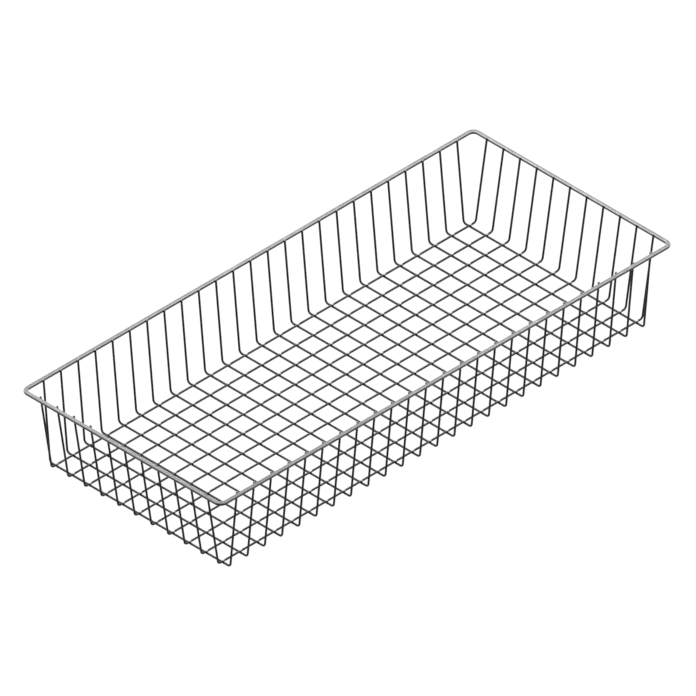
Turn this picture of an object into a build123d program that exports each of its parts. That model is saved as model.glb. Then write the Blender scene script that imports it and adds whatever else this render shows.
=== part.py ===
from build123d import *
import math
import os

# A locker basket bent and welded from steel wire.
# Two layers of U-shaped wires make the floor and the walls, and their legs are welded inside a heavy rim.
# X runs along the basket, Y across it and Z up.
# The origin is at the middle of the underside, where the basket rests.

# Overall size
rim_length = 660.4      # outside, over the rim
rim_width = 292.6       # outside, over the rim
basket_height = 100.8   # underside of the floor to the top of the rim

# Wire stock, across the flats
rim_diameter = 4.76     # heavy wire of the rim
mesh_diameter = 2.32    # light wire of the floor and the walls

# Round wire is drawn with narrow flats, so that welded wires seat flat on flat
rim_sides = 16
mesh_sides = 12

# Bends, with radii to the middle of the wire
rim_bend_radius = 7.14
floor_bend_radius = 4.0
floor_bend_steps = 5    # short straight steps in each floor bend

# Lean of the walls out of upright, in degrees
end_lean = 9.5
side_lean = 5.6

# Mesh
cross_wire_count = 25   # wires across the basket, in the lower layer
long_wire_count = 11    # wires along the basket, in the upper layer
end_land = 4.28         # start of an end bend to the middle of the last cross wire
side_land = 6.24        # start of a side bend to the middle of the last long wire

# Legs at the rim
rim_weld_depth = 0.25   # how far a leg is let into the round of the rim
tip_set_back = 0.1      # top of the rim down to the highest point of a cut tip
cut_overrun = 2.0       # how far a cutter runs past the leg on each side

# Sizes that follow
rim_radius = rim_diameter / 2
mesh_radius = mesh_diameter / 2
rim_level = basket_height - rim_radius
rim_half_length = rim_length / 2 - rim_radius
rim_half_width = rim_width / 2 - rim_radius
cross_level = mesh_radius
long_level = cross_level + mesh_diameter
quarter_turn = math.pi / 2


def wire_section(start, direction, sideways, radius, sides):
    """The section of a wire at the start of its path, with a flat facing sideways."""
    plane = Plane(origin=start, x_dir=sideways, z_dir=direction)
    turn = 180 / sides
    return plane * RegularPolygon(radius, sides, major_radius=False, rotation=turn)


def floor_reach(rim_reach, floor_level, lean):
    """Middle of the basket to where the line of a leg meets the line of the floor."""
    slope = math.radians(lean)
    to_leg = (rim_radius + mesh_radius - rim_weld_depth) / math.cos(slope)
    return rim_reach - to_leg - (rim_level - floor_level) * math.tan(slope)


def floor_run(reach, lean):
    """Middle of the basket to the start of a floor bend."""
    bend_turn = quarter_turn - math.radians(lean)
    return reach - floor_bend_radius * math.tan(bend_turn / 2)


def even_places(last, count):
    """Evenly spaced places from minus last to plus last."""
    pitch = 2 * last / (count - 1)
    return [pitch * index - last for index in range(count)]


def u_points(reach, floor_level, lean):
    """Middle line of a U-shaped wire in the XZ plane: leg, bend, floor, bend, leg."""
    slope = math.radians(lean)
    bend_start = floor_run(reach, lean)
    right = []
    for step in range(floor_bend_steps + 1):
        angle = (quarter_turn - slope) * step / floor_bend_steps
        x = bend_start + floor_bend_radius * math.sin(angle)
        z = floor_level + floor_bend_radius * (1 - math.cos(angle))
        right.append((x, 0, z))
    tip_level = basket_height - tip_set_back - mesh_radius * math.sin(slope)
    right.append((reach + (tip_level - floor_level) * math.tan(slope), 0, tip_level))
    left = [(-x, y, z) for x, y, z in reversed(right)]
    return left + right


def bent_wire(reach, floor_level, lean):
    """A light wire bent to a wide U, its legs leaning outwards."""
    path = Polyline(*u_points(reach, floor_level, lean))
    section = wire_section(path @ 0, path % 0, (0, 1, 0), mesh_radius, mesh_sides)
    return sweep(section, path=path, transition=Transition.RIGHT)


def seat_on_rim(wire, rim_reach):
    """Cope both legs to the side of the rim that they are welded to."""
    for side in (-1, 1):
        start = Vector(side * rim_reach, -mesh_radius - cut_overrun, rim_level)
        section = wire_section(start, (0, 1, 0), (0, 0, 1), rim_radius, rim_sides)
        wire = wire - extrude(section, mesh_diameter + 2 * cut_overrun)
    return wire


def make_rim():
    """The rim: one heavy wire bent to a rectangle with round corners."""
    outline = RectangleRounded(2 * rim_half_length, 2 * rim_half_width, rim_bend_radius)
    path = (Plane.XY.offset(rim_level) * outline).wire()
    section = wire_section(path @ 0, path % 0, (0, 0, 1), rim_radius, rim_sides)
    return sweep(section, path=path)


def make_cross_wire(reach):
    """A wire of the lower layer, made along X and then turned across the basket."""
    wire = bent_wire(reach, cross_level, side_lean)
    return Rot(Z=90) * seat_on_rim(wire, rim_half_width)


def make_long_wire(reach):
    """A wire of the upper layer, which lies on the cross wires."""
    wire = bent_wire(reach, long_level, end_lean)
    return seat_on_rim(wire, rim_half_length)


def write_node(name, shape):
    """One solid in one file, named as its node."""
    export_step(shape.solid(), os.path.join("parts", name + ".step"))


def main():
    os.makedirs("parts", exist_ok=True)
    side_reach = floor_reach(rim_half_width, cross_level, side_lean)
    end_reach = floor_reach(rim_half_length, long_level, end_lean)
    last_cross = floor_run(end_reach, end_lean) - end_land
    last_long = floor_run(side_reach, side_lean) - side_land

    write_node("rim_wire", make_rim())

    cross_wire = make_cross_wire(side_reach)
    for number, place in enumerate(even_places(last_cross, cross_wire_count), start=1):
        write_node(f"cross_wire_{number:02d}", Pos(place, 0, 0) * cross_wire)

    long_wire = make_long_wire(end_reach)
    for number, place in enumerate(even_places(last_long, long_wire_count), start=1):
        write_node(f"long_wire_{number:02d}", Pos(0, place, 0) * long_wire)


main()
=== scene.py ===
import math
import bmesh
import bpy
from mathutils import Matrix, Vector


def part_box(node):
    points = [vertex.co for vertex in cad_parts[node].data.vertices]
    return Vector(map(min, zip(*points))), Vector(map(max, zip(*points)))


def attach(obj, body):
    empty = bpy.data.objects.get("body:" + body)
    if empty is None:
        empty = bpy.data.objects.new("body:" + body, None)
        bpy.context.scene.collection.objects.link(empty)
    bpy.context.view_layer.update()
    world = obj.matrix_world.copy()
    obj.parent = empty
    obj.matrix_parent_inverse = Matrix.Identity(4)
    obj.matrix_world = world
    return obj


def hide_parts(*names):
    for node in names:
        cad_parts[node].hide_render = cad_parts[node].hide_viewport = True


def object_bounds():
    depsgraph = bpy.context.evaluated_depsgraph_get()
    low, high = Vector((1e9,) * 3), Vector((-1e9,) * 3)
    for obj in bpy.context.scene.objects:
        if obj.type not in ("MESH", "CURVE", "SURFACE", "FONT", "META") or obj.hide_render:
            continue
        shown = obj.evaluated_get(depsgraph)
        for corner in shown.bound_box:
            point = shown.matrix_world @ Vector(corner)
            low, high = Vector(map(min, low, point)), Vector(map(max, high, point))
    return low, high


# A locker basket welded from steel wire: a heavy rim, and two layers of U-shaped light wires.
# Every flat-sided wire of the frame is replaced by a round one in its place, and the welds are added.

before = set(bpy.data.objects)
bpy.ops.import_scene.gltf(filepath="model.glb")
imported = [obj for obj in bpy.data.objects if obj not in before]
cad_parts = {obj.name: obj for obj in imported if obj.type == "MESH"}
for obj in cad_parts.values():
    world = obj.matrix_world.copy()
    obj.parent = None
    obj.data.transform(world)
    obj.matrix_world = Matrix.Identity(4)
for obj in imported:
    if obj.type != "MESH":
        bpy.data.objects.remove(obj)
cadLow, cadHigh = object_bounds()
print("frame loaded:", len(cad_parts), "wires")


# Sizes and places, read from the frame

def wireNames(start):
    return sorted(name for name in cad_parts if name.startswith(start))


def middleOf(name):
    low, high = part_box(name)
    return (low + high) / 2


crossNames = wireNames("cross_wire")
longNames = wireNames("long_wire")
crossPlaces = [middleOf(name).x for name in crossNames]    # along the basket
longPlaces = [middleOf(name).y for name in longNames]      # across the basket
crossPitch = crossPlaces[1] - crossPlaces[0]
longPitch = longPlaces[1] - longPlaces[0]

rimLow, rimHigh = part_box("rim_wire")
crossLow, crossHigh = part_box(crossNames[0])
longLow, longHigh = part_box(longNames[0])
rimRadius = (rimHigh.z - rimLow.z) / 2
wireRadius = (crossHigh.x - crossLow.x) / 2
rimLevel = rimHigh.z - rimRadius
rimHalfLength = rimHigh.x - rimRadius
rimHalfWidth = rimHigh.y - rimRadius
crossLevel = crossLow.z + wireRadius
longLevel = longLow.z + wireRadius
weldLevel = (crossLevel + longLevel) / 2                   # where the two layers touch

nearly = 1e-6                # points closer than this are one point
quarterTurn = math.pi / 2
sharpAngle = math.radians(25)


# Modelling helpers

def selectOnly(piece):
    bpy.ops.object.select_all(action="DESELECT")
    piece.select_set(True)
    bpy.context.view_layer.objects.active = piece


def editMode():
    bpy.ops.object.mode_set(mode="EDIT")


def objectMode():
    bpy.ops.object.mode_set(mode="OBJECT")


def selectPoints(wanted):
    # picks the points of the open mesh by their place
    mesh = bpy.context.object.data
    points = bmesh.from_edit_mesh(mesh)
    bpy.ops.mesh.select_mode(type="VERT")
    bpy.ops.mesh.select_all(action="DESELECT")
    for point in points.verts:
        point.select_set(wanted(point.co))
    points.select_flush(True)
    bmesh.update_edit_mesh(mesh)


def addDisc(radius, sides, place, turn):
    # a filled circle, left open in edit mode with its face selected
    bpy.ops.object.select_all(action="DESELECT")
    bpy.ops.mesh.primitive_circle_add(
        vertices=sides, radius=radius, fill_type="NGON", location=place, rotation=turn
    )
    bpy.ops.object.transform_apply(location=True, rotation=True, scale=True)
    editMode()
    bpy.ops.mesh.select_mode(type="FACE")
    bpy.ops.mesh.select_all(action="SELECT")
    return bpy.context.object


def extrudeBy(step):
    bpy.ops.mesh.extrude_region_move(TRANSFORM_OT_translate={"value": step})


def mirrorPiece(piece, alongX, alongY):
    mirror = piece.modifiers.new("mirror", "MIRROR")
    mirror.use_axis = (alongX, alongY, False)
    mirror.merge_threshold = nearly
    bpy.ops.object.modifier_apply(modifier=mirror.name)


def repeatAlongX(piece, count, pitch):
    row = piece.modifiers.new("row", "ARRAY")
    row.use_relative_offset = False
    row.use_constant_offset = True
    row.constant_offset_displace = (pitch, 0, 0)
    row.count = count
    bpy.ops.object.modifier_apply(modifier=row.name)


def closeMesh():
    editMode()
    bpy.ops.mesh.select_all(action="SELECT")
    bpy.ops.mesh.remove_doubles(threshold=nearly)
    bpy.ops.mesh.normals_make_consistent(inside=False)
    objectMode()
    bpy.ops.object.shade_smooth_by_angle(angle=sharpAngle)


def copyPiece(model, name, placement):
    mesh = model.data.copy()
    mesh.name = name
    mesh.transform(placement)
    piece = bpy.data.objects.new(name, mesh)
    bpy.context.collection.objects.link(piece)
    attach(piece, "root")
    return piece


# Rim wire

rimWire = {
    "cornerRadius": 0.00714,     # to the middle of the wire
    "cornerSteps": 12,
    "sides": 24,
}


def makeRimWire():
    corner = rimWire["cornerRadius"]
    firstRun = rimHalfLength - corner
    secondRun = rimHalfWidth - corner
    piece = addDisc(rimRadius, rimWire["sides"], (0, -rimHalfWidth, rimLevel), (0, quarterTurn, 0))
    extrudeBy((firstRun, 0, 0))
    bpy.ops.mesh.spin(
        steps=rimWire["cornerSteps"],
        angle=quarterTurn,
        center=(firstRun, -secondRun, rimLevel),
        axis=(0, 0, -1),
    )
    extrudeBy((0, secondRun, 0))
    # the discs at the two mirror planes go, so that the quarters meet open
    bpy.ops.mesh.delete(type="ONLY_FACE")
    selectPoints(lambda place: abs(place.x) < nearly)
    bpy.ops.mesh.delete(type="ONLY_FACE")
    objectMode()
    mirrorPiece(piece, True, True)
    closeMesh()
    piece.name = "roundRimWire"
    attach(piece, "root")
    return piece


# Light wires

lightWire = {
    "sides": 16,
    "bendRadius": 0.004,         # to the middle of the wire
    "bendSteps": 9,
    "tipBevel": 0.00015,
    "tipBevelSteps": 2,
    "markHalf": 0.00065,         # half the length of the flat that a welding electrode leaves
    "markRamp": 0.0006,          # from the flat back to the full round
    "markDepth": 0.00015,
}

crossWire = {
    "lean": math.radians(5.6),
    "markSide": -1,                            # electrode marks underneath
    "cutColour": (0.26, 0.26, 0.256),          # ends of the legs, cut clean
    "paintedTopHighlightColour": (0.11, 0.11, 0.108),       # painted highlight along the top of the floor run
}

longWire = {
    "lean": math.radians(9.5),
    "markSide": 1,                             # on top
    "cutColour": (0.025, 0.025, 0.025),        # ends of the legs, coated over
    "paintedTopHighlightColour": (0.17, 0.17, 0.168),       # painted highlight along the top of the floor run
}


def makeBentWire(wire, halfSpan, height, level, crossings):
    # half of the U is built in the XZ plane from its tip to the middle, and then mirrored
    lean = wire["lean"]
    bend = lightWire["bendRadius"]
    upLeg = Vector((math.sin(lean), 0, math.cos(lean)))
    tip = Vector((halfSpan - wireRadius * math.cos(lean), 0, height - wireRadius * math.sin(lean)))
    reach = tip.x - (tip.z - level) * math.tan(lean)
    run = reach - bend * math.tan((quarterTurn - lean) / 2)
    bendMiddle = Vector((run, 0, level + bend))
    legFoot = bendMiddle + bend * Vector((math.cos(lean), 0, -math.sin(lean)))

    piece = addDisc(wireRadius, lightWire["sides"], tip, (0, lean, 0))
    extrudeBy(legFoot - tip)
    bpy.ops.mesh.spin(
        steps=lightWire["bendSteps"],
        angle=quarterTurn - lean,
        center=bendMiddle,
        axis=(0, -1, 0),
    )

    # the floor run is cut at both ends of each flat, and at both ends of its ramps
    flat = lightWire["markHalf"]
    ramp = flat + lightWire["markRamp"]
    cuts = [place + step for place in crossings for step in (ramp, flat, -flat, -ramp)]
    stops = sorted((cut for cut in cuts if cut > nearly), reverse=True)
    here = run
    for stop in stops + [0]:
        extrudeBy((stop - here, 0, 0))
        here = stop
    bpy.ops.mesh.delete(type="ONLY_FACE")

    side = wire["markSide"]
    flatLevel = level + side * (wireRadius - lightWire["markDepth"])

    def onFlat(place):
        beyond = side * (place.z - flatLevel) > 0
        return beyond and any(abs(place.x - crossing) < flat + nearly for crossing in crossings)

    selectPoints(onFlat)
    bpy.ops.transform.resize(value=(1, 1, 0), center_override=(0, 0, flatLevel))

    selectPoints(lambda place: abs((place - tip).dot(upLeg)) < nearly)
    bpy.ops.mesh.bevel(offset=lightWire["tipBevel"], segments=lightWire["tipBevelSteps"], affect="EDGES")
    objectMode()
    mirrorPiece(piece, True, False)
    closeMesh()
    return piece


def placeWires(model, names, start, newStart, placements, material):
    # one model, copied to each place of its sort
    model.data.materials.append(material)
    for name, placement in zip(names, placements):
        piece = copyPiece(model, name.replace(start, newStart), placement)
        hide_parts(name)
    bpy.data.objects.remove(model)


def placeCrossWires(material):
    halfCrossings = [place for place in longPlaces if place > -nearly]
    model = makeBentWire(crossWire, crossHigh.y, crossHigh.z, crossLevel, halfCrossings)
    turn = Matrix.Rotation(quarterTurn, 4, "Z")
    placements = [Matrix.Translation((place, 0, 0)) @ turn for place in crossPlaces]
    placeWires(model, crossNames, "cross_wire", "roundCrossWire", placements, material)


def placeLongWires(material):
    halfCrossings = [place for place in crossPlaces if place > -nearly]
    model = makeBentWire(longWire, longHigh.x, longHigh.z, longLevel, halfCrossings)
    placements = [Matrix.Translation((0, place, 0)) for place in longPlaces]
    placeWires(model, longNames, "long_wire", "roundLongWire", placements, material)


# Welds

floorWeld = {
    "sides": 10,
    "outline": (               # height and radius of the metal pressed out between two wires
        (-0.00042, 0.0006),
        (-0.0002, 0.00096),
        (0, 0.00106),
        (0.0002, 0.00096),
        (0.00042, 0.0006),
    ),
    "unevenness": 0.00006,
}

rimWeld = {
    "sides": 12,
    "outline": (
        (-0.0005, 0.0009),
        (-0.00025, 0.00132),
        (0, 0.00145),
        (0.00025, 0.00132),
        (0.0005, 0.0009),
    ),
    "letIn": 0.00025,          # how far a leg is pressed into the rim
    "unevenness": 0.00007,
}


def makeWeld(weld):
    # a low lens of metal, drawn up ring by ring from its lower face
    height, radius = weld["outline"][0]
    piece = addDisc(radius, weld["sides"], (0, 0, height), (0, 0, 0))
    for nextHeight, nextRadius in weld["outline"][1:]:
        extrudeBy((0, 0, nextHeight - height))
        share = nextRadius / radius
        bpy.ops.transform.resize(value=(share, share, 1), center_override=(0, 0, nextHeight))
        height, radius = nextHeight, nextRadius
    objectMode()
    return piece


def roughenWelds(piece, amount, seed):
    selectOnly(piece)
    editMode()
    bpy.ops.mesh.select_all(action="SELECT")
    bpy.ops.transform.vertex_random(offset=amount, seed=seed)
    objectMode()


def placeFloorWelds(material):
    model = makeWeld(floorWeld)
    repeatAlongX(model, len(crossPlaces), crossPitch)
    closeMesh()
    model.data.materials.append(material)
    for number, place in enumerate(longPlaces, start=1):
        start = Matrix.Translation((crossPlaces[0], place, weldLevel))
        piece = copyPiece(model, f"floorWelds_{number:02d}", start)
        roughenWelds(piece, floorWeld["unevenness"], number)
    bpy.data.objects.remove(model)


def placeRimWelds(material):
    # each row is set at the low Y side and then turned to its own side of the rim
    rows = (
        ("rimWelds_front", crossPlaces, crossWire, rimHalfWidth, 0),
        ("rimWelds_right", longPlaces, longWire, rimHalfLength, 1),
        ("rimWelds_back", crossPlaces, crossWire, rimHalfWidth, 2),
        ("rimWelds_left", longPlaces, longWire, rimHalfLength, 3),
    )
    for name, places, wire, rimDistance, turns in rows:
        model = makeWeld(rimWeld)
        # faced into the basket and up with the leaning leg
        tilt = Matrix.Rotation(wire["lean"] - quarterTurn, 4, "X")
        model.data.transform(tilt)
        repeatAlongX(model, len(places), places[1] - places[0])
        closeMesh()
        model.data.materials.append(material)
        out = rimRadius - rimWeld["letIn"] / 2
        seat = Vector((0, math.cos(wire["lean"]), math.sin(wire["lean"]))) * out
        start = Vector((places[0], -rimDistance, rimLevel)) + seat
        side = Matrix.Rotation(quarterTurn * turns, 4, "Z")
        piece = copyPiece(model, name, side @ Matrix.Translation(start))
        roughenWelds(piece, rimWeld["unevenness"], turns)
        bpy.data.objects.remove(model)


# Material helpers

def newMaterial(name, finish):
    material = bpy.data.materials.new(name)
    material.use_nodes = True
    tree = material.node_tree
    shader = tree.nodes["Principled BSDF"]
    shader.inputs["Base Color"].default_value = (*finish["colour"], 1)
    shader.inputs["Metallic"].default_value = 0
    shader.inputs["Specular IOR Level"].default_value = finish["specular"]
    return material, tree, shader


def objectPlace(tree):
    return tree.nodes.new("ShaderNodeTexCoord").outputs["Object"]


def splitPlace(tree, place):
    split = tree.nodes.new("ShaderNodeSeparateXYZ")
    tree.links.new(place, split.inputs["Vector"])
    return split.outputs


def calculate(tree, operation, first, second=0.0, third=0.0):
    node = tree.nodes.new("ShaderNodeMath")
    node.operation = operation
    for socket, value in zip(node.inputs, (first, second, third)):
        if isinstance(value, bpy.types.NodeSocket):
            tree.links.new(value, socket)
        else:
            socket.default_value = value
    return node.outputs[0]


def fade(tree, value, low, high):
    # 0 at low, 1 at high, smooth between
    node = tree.nodes.new("ShaderNodeMapRange")
    node.interpolation_type = "SMOOTHSTEP"
    tree.links.new(value, node.inputs["Value"])
    node.inputs["From Min"].default_value = low
    node.inputs["From Max"].default_value = high
    return node.outputs["Result"]


def blendColours(tree, share, first, second):
    node = tree.nodes.new("ShaderNodeMix")
    node.data_type = "RGBA"
    tree.links.new(share, node.inputs["Factor"])
    for socket, colour in ((node.inputs["A"], first), (node.inputs["B"], second)):
        if isinstance(colour, bpy.types.NodeSocket):
            tree.links.new(colour, socket)
        else:
            socket.default_value = (*colour, 1)
    return node.outputs["Result"]


def blendValues(tree, share, first, second):
    node = tree.nodes.new("ShaderNodeMix")
    tree.links.new(share, node.inputs["Factor"])
    tree.links.new(first, node.inputs["A"])
    tree.links.new(second, node.inputs["B"])
    return node.outputs["Result"]


def grainOf(tree, place, scale, detail, stretch=(1, 1, 1)):
    mapping = tree.nodes.new("ShaderNodeMapping")
    mapping.inputs["Scale"].default_value = stretch
    tree.links.new(place, mapping.inputs["Vector"])
    noise = tree.nodes.new("ShaderNodeTexNoise")
    noise.inputs["Scale"].default_value = scale
    noise.inputs["Detail"].default_value = detail
    tree.links.new(mapping.outputs["Vector"], noise.inputs["Vector"])
    return noise.outputs["Fac"]


def heightInWire(tree, z, level, radius, mottle, unevenness):
    # height above the middle of the wire as a share of its radius, made uneven
    height = calculate(tree, "MULTIPLY_ADD", z, 1 / radius, -level / radius)
    uneven = calculate(tree, "MULTIPLY_ADD", mottle, unevenness, -unevenness / 2)
    return calculate(tree, "ADD", height, uneven)


def setRoughness(tree, shader, share, finish):
    roughness = tree.nodes.new("ShaderNodeMapRange")
    tree.links.new(share, roughness.inputs["Value"])
    roughness.inputs["To Min"].default_value = finish["smoothest"]
    roughness.inputs["To Max"].default_value = finish["roughest"]
    tree.links.new(roughness.outputs["Result"], shader.inputs["Roughness"])


def addBumps(tree, shader, height, finish):
    bump = tree.nodes.new("ShaderNodeBump")
    bump.inputs["Strength"].default_value = finish["bumpStrength"]
    bump.inputs["Distance"].default_value = finish["bumpDepth"]
    tree.links.new(height, bump.inputs["Height"])
    tree.links.new(bump.outputs["Normal"], shader.inputs["Normal"])


# Finish of the light wires

wireCoat = {
    "colour": (0.022, 0.0225, 0.023),
    "thinColour": (0.040, 0.0405, 0.041),      # where the coat lies thinner
    "thin": (0.4, 0.66),                       # grain at which it starts and is full
    "lineShare": 0.35,                         # how much the drawing lines thin it
    "unevenness": 0.1,
    "paintedTopHighlight": (0.90, 1.0),                     # heights in the wire of the painted highlight on top, as shares of its radius
    "paintedTopHighlightPast": 0.002,                       # how far the painted highlight goes past the last crossing
    "markColour": (0.6, 0.6, 0.59),            # metal pressed bare by the electrodes
    "markLength": 0.0014,
    "markWidth": 0.001,
    "markReach": 0.00045,                      # how far a mark runs down the sides of the wire
    "markEdge": (1.8, 1.2),                    # squared distance plus grain, out and in
    "cutEdge": (2.4, 2),                       # start and full, in slopes of the cut below its top
    "specular": 0.2,
    "roughest": 0.56,
    "smoothest": 0.4,
    "gloss": (0.7, 1.4),
    "mottleScale": 300,
    "mottleDetail": 3,
    "peelScale": 1500,
    "lineScale": 1300,
    "lineStretch": 0.03,
    "fineDetail": 2,
    "bumpStrength": 0.5,
    "bumpDepth": 0.00004,
}


def drawnLines(tree, place, finish, alongX):
    # lines left by the drawing die run with the wire
    thin = finish["lineStretch"]
    stretch = (thin, 1, 1) if alongX else (1, thin, 1)
    return grainOf(tree, place, finish["lineScale"], finish["fineDetail"], stretch)


def electrodeMarks(tree, x, y, z, peel, markLevel, alongX):
    # one mark at each crossing, with a ragged edge
    alongScale, acrossScale = wireCoat["markLength"], wireCoat["markWidth"]
    if not alongX:
        alongScale, acrossScale = acrossScale, alongScale
    fromCross = calculate(tree, "PINGPONG", x, crossPitch / 2)
    fromLong = calculate(tree, "PINGPONG", y, longPitch / 2)
    farAlong = calculate(tree, "POWER", calculate(tree, "DIVIDE", fromCross, alongScale), 2)
    farAcross = calculate(tree, "POWER", calculate(tree, "DIVIDE", fromLong, acrossScale), 2)
    ragged = calculate(tree, "ADD", calculate(tree, "ADD", farAlong, farAcross), peel)
    onSide = calculate(tree, "COMPARE", z, markLevel, wireCoat["markReach"])
    return calculate(tree, "MULTIPLY", fade(tree, ragged, *wireCoat["markEdge"]), onSide)


def paintedTopHighlightMask(tree, along, z, mottle, level, lastCrossing):
    # painted highlight on the top of the wire, along the floor run only
    onRun = calculate(
        tree, "LESS_THAN", calculate(tree, "ABSOLUTE", along), lastCrossing + wireCoat["paintedTopHighlightPast"]
    )
    height = heightInWire(tree, z, level, wireRadius, mottle, wireCoat["unevenness"])
    return calculate(tree, "MULTIPLY", fade(tree, height, *wireCoat["paintedTopHighlight"]), onRun)


def makeWireCoat(name, wire, level, high, alongX):
    material, tree, shader = newMaterial(name, wireCoat)
    place = objectPlace(tree)
    x, y, z = splitPlace(tree, place)
    along, lastCrossing = (x, crossPlaces[-1]) if alongX else (y, longPlaces[-1])

    # the drawing lines turn up with the legs
    upright = (1, 1, wireCoat["lineStretch"])
    legLines = grainOf(tree, place, wireCoat["lineScale"], wireCoat["fineDetail"], upright)
    onLeg = calculate(tree, "GREATER_THAN", z, level + lightWire["bendRadius"])
    lines = blendValues(tree, onLeg, drawnLines(tree, place, wireCoat, alongX), legLines)
    mottle = grainOf(tree, place, wireCoat["mottleScale"], wireCoat["mottleDetail"])
    peel = grainOf(tree, place, wireCoat["peelScale"], wireCoat["fineDetail"])

    thinner = fade(tree, mottle, *wireCoat["thin"])
    lined = calculate(tree, "MULTIPLY", lines, wireCoat["lineShare"])
    # the top of the floor run lighter: painted highlight
    paintedTopHighlight = paintedTopHighlightMask(tree, along, z, mottle, level, lastCrossing)
    mark = electrodeMarks(tree, x, y, z, peel, level + wire["markSide"] * wireRadius, alongX)
    slope = wireRadius * math.sin(wire["lean"])
    cut = fade(tree, z, *(high - slopes * slope for slopes in wireCoat["cutEdge"]))

    colour = blendColours(tree, thinner, wireCoat["colour"], wireCoat["thinColour"])
    colour = blendColours(tree, lined, colour, wireCoat["thinColour"])
    colour = blendColours(tree, paintedTopHighlight, colour, wire["paintedTopHighlightColour"])
    colour = blendColours(tree, mark, colour, wireCoat["markColour"])
    colour = blendColours(tree, cut, colour, wire["cutColour"])
    tree.links.new(colour, shader.inputs["Base Color"])

    gloss = fade(tree, calculate(tree, "ADD", mottle, lines), *wireCoat["gloss"])
    setRoughness(tree, shader, gloss, wireCoat)
    addBumps(tree, shader, calculate(tree, "ADD", peel, lines), wireCoat)
    return material


# Finish of the rim

rimFinish = {
    "colour": (0.26, 0.26, 0.257),
    "dullColour": (0.23, 0.23, 0.227),
    "dull": (0.38, 0.7),                       # grain at which it starts and is full
    "scuffColour": (0.50, 0.50, 0.49),
    "scuff": (0.6, 0.75),
    "paintedHighlightColour": (0.56, 0.56, 0.552),     # painted highlight on the upper side of the wire
    "paintedHighlightRange": (0.94, 0.74),                  # heights in the wire of the painted highlight, as shares of its radius
    "paintedHighlightShare": 0.85,
    "paintedShadeColour": (0.06, 0.06, 0.059),        # painted shade on the lower side of the wire
    # heights in the wire of the painted shade, as shares of its radius
    "paintedShade": (0.5, 0.22),
    "unevenness": 0.3,
    "specular": 0.2,
    "roughest": 0.3,
    "smoothest": 0.2,
    "gloss": (0.3, 0.7),
    "mottleScale": 120,
    "mottleDetail": 4,
    "peelScale": 900,
    "lineScale": 900,
    "lineStretch": 0.02,
    "fineDetail": 2,
    "bumpStrength": 0.5,
    "bumpDepth": 0.00004,
}


def makeRimFinish():
    material, tree, shader = newMaterial("rimFinish", rimFinish)
    place = objectPlace(tree)
    split = splitPlace(tree, place)

    # the drawing lines turn the corners with the wire
    sideLines = drawnLines(tree, place, rimFinish, True)
    endLines = drawnLines(tree, place, rimFinish, False)
    endStart = rimHalfLength - rimWire["cornerRadius"]
    onEnd = fade(tree, calculate(tree, "ABSOLUTE", split["X"]), endStart, rimHalfLength)
    lines = blendValues(tree, onEnd, sideLines, endLines)
    mottle = grainOf(tree, place, rimFinish["mottleScale"], rimFinish["mottleDetail"])
    peel = grainOf(tree, place, rimFinish["peelScale"], rimFinish["fineDetail"])

    # painted highlight on the upper side of the wire and painted shade on the lower side, at uneven
    # heights round it
    height = heightInWire(tree, split["Z"], rimLevel, rimRadius, mottle, rimFinish["unevenness"])
    paintedHighlight = calculate(
        tree, "MULTIPLY", fade(tree, height, *rimFinish["paintedHighlightRange"]), rimFinish["paintedHighlightShare"]
    )
    # the lower side of the wire darker: painted shade
    paintedShade = fade(tree, height, *rimFinish["paintedShade"])
    dull = fade(tree, mottle, *rimFinish["dull"])
    scuffed = fade(tree, lines, *rimFinish["scuff"])

    colour = blendColours(tree, dull, rimFinish["colour"], rimFinish["dullColour"])
    colour = blendColours(tree, scuffed, colour, rimFinish["scuffColour"])
    # the upper side of the wire lighter: painted highlight
    colour = blendColours(tree, paintedHighlight, colour, rimFinish["paintedHighlightColour"])
    colour = blendColours(tree, paintedShade, colour, rimFinish["paintedShadeColour"])
    tree.links.new(colour, shader.inputs["Base Color"])

    setRoughness(tree, shader, fade(tree, mottle, *rimFinish["gloss"]), rimFinish)
    addBumps(tree, shader, calculate(tree, "ADD", peel, lines), rimFinish)
    return material


# Finish of the welds

weldFinish = {
    "colour": (0.16, 0.16, 0.155),
    "burntColour": (0.05, 0.048, 0.046),
    "burnt": (0.4, 0.62),                      # grain at which it starts and is full
    "specular": 0.35,
    "roughness": 0.5,
    "grainScale": 1800,
    "grainDetail": 4,
    "bumpStrength": 0.6,
    "bumpDepth": 0.00008,
}


def makeWeldFinish():
    material, tree, shader = newMaterial("weldFinish", weldFinish)
    shader.inputs["Roughness"].default_value = weldFinish["roughness"]
    grain = grainOf(tree, objectPlace(tree), weldFinish["grainScale"], weldFinish["grainDetail"])
    burnt = fade(tree, grain, *weldFinish["burnt"])
    colour = blendColours(tree, burnt, weldFinish["colour"], weldFinish["burntColour"])
    tree.links.new(colour, shader.inputs["Base Color"])
    addBumps(tree, shader, grain, weldFinish)
    return material


# Floor, light and camera

studio = {
    "floorSize": 12,
    "floorGlow": 0.95,           # white that the camera sees
    "floorCatch": 0.06,          # share that takes the shadow
    "floorDark": 0.03,           # what the underside of the basket sees
    "skyStrength": 0.08,
    "lamps": (                   # name, place, size and power
        ("topLight", (-0.05, 0.3, 4), 2.2, 80),
        ("leftLight", (-0.22, 1.1, 1.56), 0.5, 25),
        ("rightLight", (1.21, -0.65, 1.57), 0.5, 17),
    ),
}


def shownDirectly(tree):
    # 1 for what the camera, a reflection or glass sees
    path = tree.nodes.new("ShaderNodeLightPath")
    seen = calculate(tree, "MAXIMUM", path.outputs["Is Camera Ray"], path.outputs["Is Glossy Ray"])
    return calculate(tree, "MAXIMUM", seen, path.outputs["Is Transmission Ray"])


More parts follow.
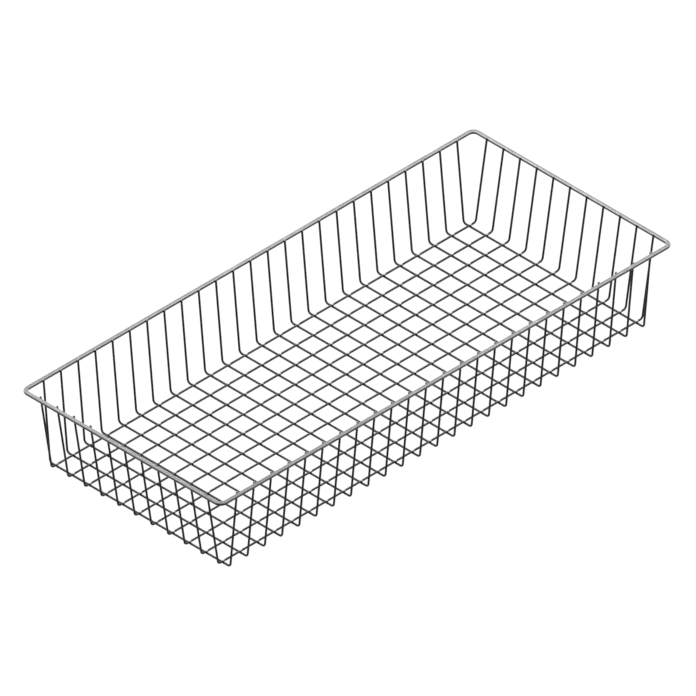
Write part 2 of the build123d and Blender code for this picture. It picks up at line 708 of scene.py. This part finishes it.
def makeFloor():
    bpy.ops.mesh.primitive_plane_add(size=studio["floorSize"], location=(0, 0, cadLow.z))
    floor = bpy.context.object
    floor.name = "studioFloor"
    material = bpy.data.materials.new("paleFloor")
    material.use_nodes = True
    material.cycles.emission_sampling = "NONE"
    tree = material.node_tree
    tree.nodes.clear()
    output = tree.nodes.new("ShaderNodeOutputMaterial")
    glow = tree.nodes.new("ShaderNodeEmission")
    glow.inputs["Strength"].default_value = studio["floorGlow"]
    catch = tree.nodes.new("ShaderNodeBsdfDiffuse")
    catch.inputs["Color"].default_value = (studio["floorCatch"],) * 3 + (1,)
    seenFloor = tree.nodes.new("ShaderNodeAddShader")
    tree.links.new(glow.outputs[0], seenFloor.inputs[0])
    tree.links.new(catch.outputs[0], seenFloor.inputs[1])
    dark = tree.nodes.new("ShaderNodeBsdfDiffuse")
    dark.inputs["Color"].default_value = (studio["floorDark"],) * 3 + (1,)
    either = tree.nodes.new("ShaderNodeMixShader")
    tree.links.new(shownDirectly(tree), either.inputs[0])
    tree.links.new(dark.outputs[0], either.inputs[1])
    tree.links.new(seenFloor.outputs[0], either.inputs[2])
    tree.links.new(either.outputs[0], output.inputs["Surface"])
    floor.data.materials.append(material)


def makeSky():
    world = bpy.data.worlds.new("studioSky")
    bpy.context.scene.world = world
    world.use_nodes = True
    tree = world.node_tree
    tree.nodes.clear()
    output = tree.nodes.new("ShaderNodeOutputWorld")
    light = tree.nodes.new("ShaderNodeBackground")
    light.inputs["Color"].default_value = (1, 1, 1, 1)
    light.inputs["Strength"].default_value = studio["skyStrength"]
    white = tree.nodes.new("ShaderNodeBackground")
    white.inputs["Color"].default_value = (1, 1, 1, 1)
    either = tree.nodes.new("ShaderNodeMixShader")
    tree.links.new(shownDirectly(tree), either.inputs[0])
    tree.links.new(light.outputs[0], either.inputs[1])
    tree.links.new(white.outputs[0], either.inputs[2])
    tree.links.new(either.outputs[0], output.inputs["Surface"])


def addSoftLight(name, place, size, power):
    lamp = bpy.data.lights.new(name, "AREA")
    lamp.size = size
    lamp.energy = power
    light = bpy.data.objects.new(name, lamp)
    light.location = place
    toBasket = Vector((0, 0, rimLevel / 2)) - light.location
    light.rotation_euler = toBasket.to_track_quat("-Z", "Y").to_euler()
    bpy.context.collection.objects.link(light)


photoView = {
    "azimuth": math.radians(-45),
    "elevation": math.radians(35.37),        # isometric, in a picture squeezed a little
    "width": 0.7163,             # of the picture, in metres across
    "aimRight": 0.00103,         # from the middle of the rim to the middle of the picture
    "aimUp": -0.03125,
    "distance": 2,
}


def addCamera():
    azimuth, elevation = photoView["azimuth"], photoView["elevation"]
    back = Vector((
        math.sin(azimuth) * math.cos(elevation),
        -math.cos(azimuth) * math.cos(elevation),
        math.sin(elevation),
    ))
    turn = (-back).to_track_quat("-Z", "Y")
    aim = Vector((0, 0, rimLevel)) + turn @ Vector((photoView["aimRight"], photoView["aimUp"], 0))
    lens = bpy.data.cameras.new("photoCamera")
    lens.type = "ORTHO"
    lens.ortho_scale = photoView["width"]
    camera = bpy.data.objects.new("photoCamera", lens)
    camera.location = aim + back * photoView["distance"]
    camera.rotation_euler = turn.to_euler()
    bpy.context.collection.objects.link(camera)
    bpy.context.scene.camera = camera


# Everything is put together

crossCoat = makeWireCoat("crossWireCoat", crossWire, crossLevel, crossHigh.z, False)
longCoat = makeWireCoat("longWireCoat", longWire, longLevel, longHigh.z, True)
weldMetal = makeWeldFinish()
print("finishes made")

rimPiece = makeRimWire()
rimPiece.data.materials.append(makeRimFinish())
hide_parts("rim_wire")
print("rim bent")

placeCrossWires(crossCoat)
print("cross wires placed:", len(crossNames))
placeLongWires(longCoat)
print("long wires placed:", len(longNames))

placeFloorWelds(weldMetal)
placeRimWelds(weldMetal)
print("welds placed:", len(crossNames) * len(longNames), "in the floor,",
      2 * (len(crossNames) + len(longNames)), "at the rim")

makeFloor()
makeSky()
for lamp in studio["lamps"]:
    addSoftLight(*lamp)
addCamera()
bpy.context.scene.view_settings.view_transform = "Standard"
print("studio set")
